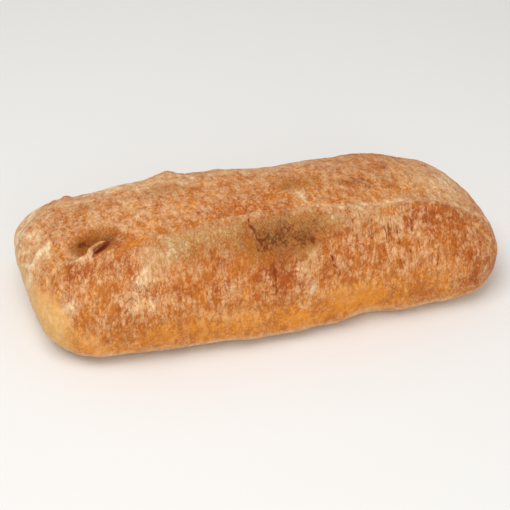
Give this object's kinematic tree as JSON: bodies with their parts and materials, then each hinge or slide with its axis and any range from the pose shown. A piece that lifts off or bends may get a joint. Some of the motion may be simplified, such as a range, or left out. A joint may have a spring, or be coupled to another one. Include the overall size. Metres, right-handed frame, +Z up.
{
  "type": "ciabatta loaf",
  "caption": "Whole baked ciabatta: a long, flat-bottomed, round-shouldered loaf with a floury crust and a fold seam along its top.",
  "frame": {"origin": "middle of the loaf's outline in plan, on the surface that the loaf rests on", "axes": "+X along the loaf towards its lower, more pointed end; -Y towards the long side that the folded flap faces; +Z up"},
  "size_m": [0.274, 0.1142, 0.0651],
  "materials": {
    "crust": "matt, floury"
  },
  "bodies": {
    "root": {"ciabatta_loaf": "crust"}
  },
  "joints": []
}
